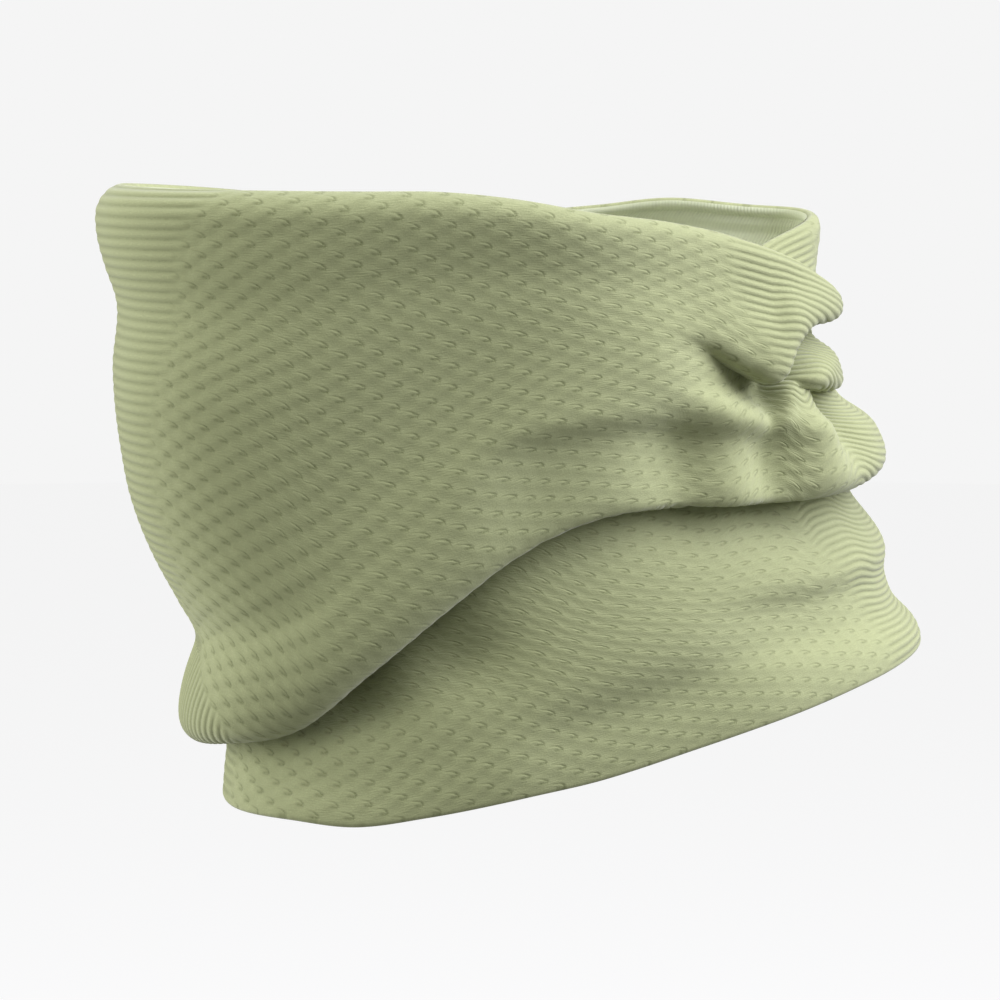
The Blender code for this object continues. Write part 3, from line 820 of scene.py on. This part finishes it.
def outer_material(sizes, colours, cells, strands):
    """Raised knit: cloth colour, with painted shade darkening the crevices and grooves and painted
    highlights lightening the cells' lips and the ribs' ridges, and mottled by the yarn."""
    material, shader, make = new_material("raised sage green knit", colours.roughness)
    knit = make.add("ShaderNodeUVMap", uv_map="knit").outputs[0]
    relief_masks = make.add("ShaderNodeGroup", node_tree=cells)
    make.put(relief_masks.inputs["Knit"], knit)
    make.put(relief_masks.inputs["Bands"], make.add("ShaderNodeUVMap", uv_map="bands").outputs[0])
    relief_masks.inputs["Cells Round"].default_value = sizes.cells_round
    relief_masks.inputs["Cells Down"].default_value = sizes.cells_down
    relief_masks.inputs["Ribs"].default_value = sizes.ribs
    yarn = make.add("ShaderNodeGroup", node_tree=strands)
    make.put(yarn.inputs["Knit"], knit)
    panel = relief_masks.outputs["Panel"]
    bands = make.math("SUBTRACT", 1.0, panel)
    crevice = make.math("MULTIPLY", relief_masks.outputs["Crevice"], panel)
    groove = make.math("MULTIPLY", relief_masks.outputs["Groove"], bands)
    ridge = make.math("MULTIPLY", relief_masks.outputs["Ridge"], bands)
    # Painted shade: the crevices and the rib grooves are mixed towards the dark crevice colour.
    painted_shade = make.math("MULTIPLY", groove, 0.6)
    painted_shade = make.math("ADD", make.math("MULTIPLY", crevice, 0.9), painted_shade, clamp=True)
    # Painted highlight: the cells' lips and the ribs' ridges are mixed towards a paler cloth colour. The
    # same mask also raises the bump.
    lip = make.math("MULTIPLY", make.math("MULTIPLY", relief_masks.outputs["Lip"], panel), 0.28)
    lip = make.math("ADD", lip, make.math("MULTIPLY", ridge, 0.4))
    base = make.mix(painted_shade, (*colours.cloth, 1), (*colours.crevice, 1))
    pale = tuple(min(1, c * 1.3) for c in colours.cloth)
    base = make.mix(lip, base, (*pale, 1))
    tone = make.between(yarn.outputs["Strand"], 0.25, 0.75, 0.0, 1.0)
    shade = tuple(c * 0.86 for c in colours.cloth)
    base = make.mix(make.math("MULTIPLY", tone, 0.5), base, (*shade, 1))
    mottle = make.between(yarn.outputs["Fuzz"], 0.35, 0.65, 0.0, 1.0)
    base = make.mix(make.math("MULTIPLY", mottle, 0.7), base, (*shade, 1))
    base = make.mix(make.math("MULTIPLY", yarn.outputs["Courses"], 0.2), base, (*shade, 1))
    make.put(shader.inputs["Base Color"], base)
    height = make.math("SUBTRACT", make.math("MULTIPLY", lip, 0.5), make.math("MULTIPLY", crevice, 0.35))
    height = make.math("SUBTRACT", height, make.math("MULTIPLY", groove, 0.6))
    height = make.math("SUBTRACT", height, make.math("MULTIPLY", yarn.outputs["Courses"], 0.04))
    height = make.math("ADD", height, make.math("MULTIPLY", yarn.outputs["Strand"], 0.35))
    height = make.math("ADD", height, make.math("MULTIPLY", yarn.outputs["Fuzz"], 0.2))
    add_bump(make, shader, height, 0.6, 0.0004)
    return material


def inner_material(colours, strands):
    """Flat inner face: fine upright wales that show in stretches, with strands over them."""
    material, shader, make = new_material("flat sage green knit", colours.roughness)
    knit = make.add("ShaderNodeUVMap", uv_map="knit").outputs[0]
    split = make.add("ShaderNodeSeparateXYZ")
    make.put(split.inputs[0], knit)
    yarn = make.add("ShaderNodeGroup", node_tree=strands)
    make.put(yarn.inputs["Knit"], knit)
    wave = make.math("SINE", make.math("MULTIPLY", split.outputs[0], 2 * math.pi * 560))
    patch = make.between(make.noise(knit, 9.0, 1.0), 0.35, 0.65)
    wale = make.math("MULTIPLY", make.math("ADD", make.math("MULTIPLY", wave, 0.5), 0.5), patch)
    shade = tuple(c * 0.8 for c in colours.inside)
    base = make.mix(make.math("MULTIPLY", wale, 0.5), (*colours.inside, 1), (*shade, 1))
    base = make.mix(make.math("MULTIPLY", yarn.outputs["Fuzz"], 0.25), base, (*shade, 1))
    make.put(shader.inputs["Base Color"], base)
    height = make.math("ADD", wale, make.math("MULTIPLY", yarn.outputs["Fuzz"], 0.4))
    add_bump(make, shader, height, 0.5, 0.0002)
    return material


def finish_piece(piece, material, flat):
    """Gives a piece its material and its body, and hides the CAD part that it stands for. Flat: not used.
    """
    piece.data.materials.append(material)
    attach(piece, "root")
    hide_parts("knit_tube")


class NECKWARMER_OT_outer_face(bpy.types.Operator):
    """Makes the ribbed and celled outer face in four quarters: chin, near side, nape and far side"""
    bl_idname = "neckwarmer.outer_face"
    bl_label = "Make the outer face"

    def execute(self, context):
        sizes = context.scene.neck_warmer_sizes
        colours = context.scene.neck_warmer_colours
        count = sizes.columns * 4
        turn = np.arange(count) / count
        down, middle, normal, _ = cloth_rows(sizes, turn, sizes.rows)
        high = relief(*np.meshgrid(turn, down, indexing="ij"), sizes)
        outer = middle + normal * (sizes.wall / 2 + high)[..., None]
        outer = rounded(sizes, outer, middle, normal, 0)
        share = np.pad(down, EDGE_ROWS, mode="edge")
        facing = normals_of(outer)
        material = outer_material(sizes, colours, cells_group(sizes), strands_group())
        girth, length = flat_size(middle)
        half = sizes.columns // 2
        for index, name in enumerate(("chin_knit", "near_knit", "nape_knit", "far_knit")):
            columns = np.arange(index * sizes.columns - half, (index + 1) * sizes.columns - half + 1)
            shares = np.meshgrid(columns / count, share, indexing="ij")
            uv = np.stack(cell_lines(*shares), -1)
            bands = np.stack([panel_share(*shares, sizes), rib_lines(*shares)], -1)
            piece = surface(name, outer[columns % count], uv, facing[columns % count], bands)
            finish_piece(piece, material, (girth / 4, length))
        return {"FINISHED"}


class NECKWARMER_OT_inner_face(bpy.types.Operator):
    """Makes the flat inner face with its turned edge at the rim"""
    bl_idname = "neckwarmer.inner_face"
    bl_label = "Make the inner face"

    def execute(self, context):
        sizes = context.scene.neck_warmer_sizes
        colours = context.scene.neck_warmer_colours
        count = sizes.inner_columns
        turn = np.arange(count) / count
        down, middle, normal, depth = cloth_rows(sizes, turn, sizes.inner_rows)
        inner = rounded(sizes, middle - normal * depth[..., None], middle, normal, math.pi)
        share = np.pad(down, EDGE_ROWS, mode="edge")
        facing = -normals_of(inner)
        uv = np.stack(np.meshgrid(np.arange(count + 1) / count, share, indexing="ij"), -1)
        material = inner_material(colours, bpy.data.node_groups.get("fine strands") or strands_group())
        piece = surface("inner_knit", inner[::-1], uv[::-1], facing[::-1])
        finish_piece(piece, material, flat_size(middle))
        return {"FINISHED"}


def area_light(name, place, power, colour):
    """A square soft light that faces the origin."""
    light = bpy.data.lights.new(name, "AREA")
    light.shape = "SQUARE"
    light.size = LIGHT_SIZE
    light.energy = power
    light.color = colour
    thing = bpy.data.objects.new(name, light)
    thing.location = place
    thing.rotation_euler = (-Vector(place)).to_track_quat("-Z", "Y").to_euler()
    bpy.context.scene.collection.objects.link(thing)
    return thing


class NECKWARMER_OT_stage(bpy.types.Operator):
    """Makes the pale floor, the soft lights and the camera"""
    bl_idname = "neckwarmer.stage"
    bl_label = "Make the stage"

    def execute(self, context):
        scene = context.scene
        colours = scene.neck_warmer_colours
        studio = scene.neck_warmer_studio
        ring = np.radians(np.arange(0, 360, 5))
        level = np.full(len(ring), -studio.floor_drop)
        floor = np.stack([FLOOR_REACH * np.cos(ring), FLOOR_REACH * np.sin(ring), level], -1)
        mesh = bpy.data.meshes.new("floor")
        mesh.from_pydata(floor.tolist(), [], [list(range(len(ring)))])
        thing = bpy.data.objects.new("floor", mesh)
        scene.collection.objects.link(thing)
        material = bpy.data.materials.new("pale floor")
        material.use_nodes = True
        shader = material.node_tree.nodes["Principled BSDF"]
        shader.inputs["Base Color"].default_value = (0.25, 0.25, 0.25, 1)
        shader.inputs["Roughness"].default_value = 1.0
        shader.inputs["Specular IOR Level"].default_value = 0.0
        shader.inputs["Emission Color"].default_value = (*colours.floor, 1)
        make = NodeMaker(material.node_tree)
        seen = make.add("ShaderNodeLightPath").outputs["Is Camera Ray"]
        make.put(shader.inputs["Emission Strength"], make.math("MULTIPLY", seen, studio.floor_glow))
        mesh.materials.append(material)

        world = bpy.data.worlds.new("studio air")
        world.use_nodes = True
        air = world.node_tree.nodes["Background"]
        air.inputs["Color"].default_value = (*colours.backdrop, 1)
        make = NodeMaker(world.node_tree)
        seen = make.add("ShaderNodeLightPath").outputs["Is Camera Ray"]
        strength = make.add("ShaderNodeMapRange")
        make.put(strength.inputs["Value"], seen)
        strength.inputs["To Min"].default_value = studio.air
        strength.inputs["To Max"].default_value = 1.0
        make.put(air.inputs["Strength"], strength.outputs["Result"])
        scene.world = world
        scene.view_settings.view_transform = "Standard"
        area_light("top light", (0.25, 0.35, 1.5), studio.key_power, (1.0, 1.0, 1.0))
        area_light("nape light", (0.32, 1.25, 0.80), studio.nape_power, (0.96, 0.95, 1.12))
        area_light("chin light", (-0.1, -1.4, 0.2), studio.chin_power, (1.0, 1.0, 1.0))

        lens = bpy.data.cameras.new("camera")
        lens.sensor_width = 36
        lens.lens = studio.lens
        lens.clip_start = 0.05
        camera = bpy.data.objects.new("camera", lens)
        away = studio.camera_distance
        rise = studio.camera_rise
        camera.location = (away * math.cos(rise), 0, away * math.sin(rise))
        camera.rotation_euler = (-camera.location).to_track_quat("-Z", "Y").to_euler()
        scene.collection.objects.link(camera)
        scene.camera = camera
        return {"FINISHED"}


class NECKWARMER_PT_panel(bpy.types.Panel):
    """Sizes, colours and buttons for the neck warmer"""
    bl_idname = "NECKWARMER_PT_panel"
    bl_label = "Neck warmer"
    bl_space_type = "VIEW_3D"
    bl_region_type = "UI"
    bl_category = "Neck warmer"

    def draw(self, context):
        scene = context.scene
        for group in (scene.neck_warmer_sizes, scene.neck_warmer_colours, scene.neck_warmer_studio):
            box = self.layout.box()
            for name in group.bl_rna.properties.keys():
                if name not in ("rna_type", "name"):
                    box.prop(group, name)
        for operator in OPERATORS:
            self.layout.operator(operator.bl_idname)


OPERATORS = (NECKWARMER_OT_outer_face, NECKWARMER_OT_inner_face, NECKWARMER_OT_stage)
CLASSES = (NeckWarmerSizes, NeckWarmerColours, StudioSizes, *OPERATORS, NECKWARMER_PT_panel)


def register():
    for one in CLASSES:
        bpy.utils.register_class(one)
    bpy.types.Scene.neck_warmer_sizes = PointerProperty(type=NeckWarmerSizes)
    bpy.types.Scene.neck_warmer_colours = PointerProperty(type=NeckWarmerColours)
    bpy.types.Scene.neck_warmer_studio = PointerProperty(type=StudioSizes)


def unregister():
    del bpy.types.Scene.neck_warmer_studio
    del bpy.types.Scene.neck_warmer_colours
    del bpy.types.Scene.neck_warmer_sizes
    for one in reversed(CLASSES):
        bpy.utils.unregister_class(one)


def main():
    """Makes every piece and the stage."""
    register()
    bpy.ops.neckwarmer.outer_face()
    bpy.ops.neckwarmer.inner_face()
    bpy.ops.neckwarmer.stage()


if __name__ == "__main__":
    main()
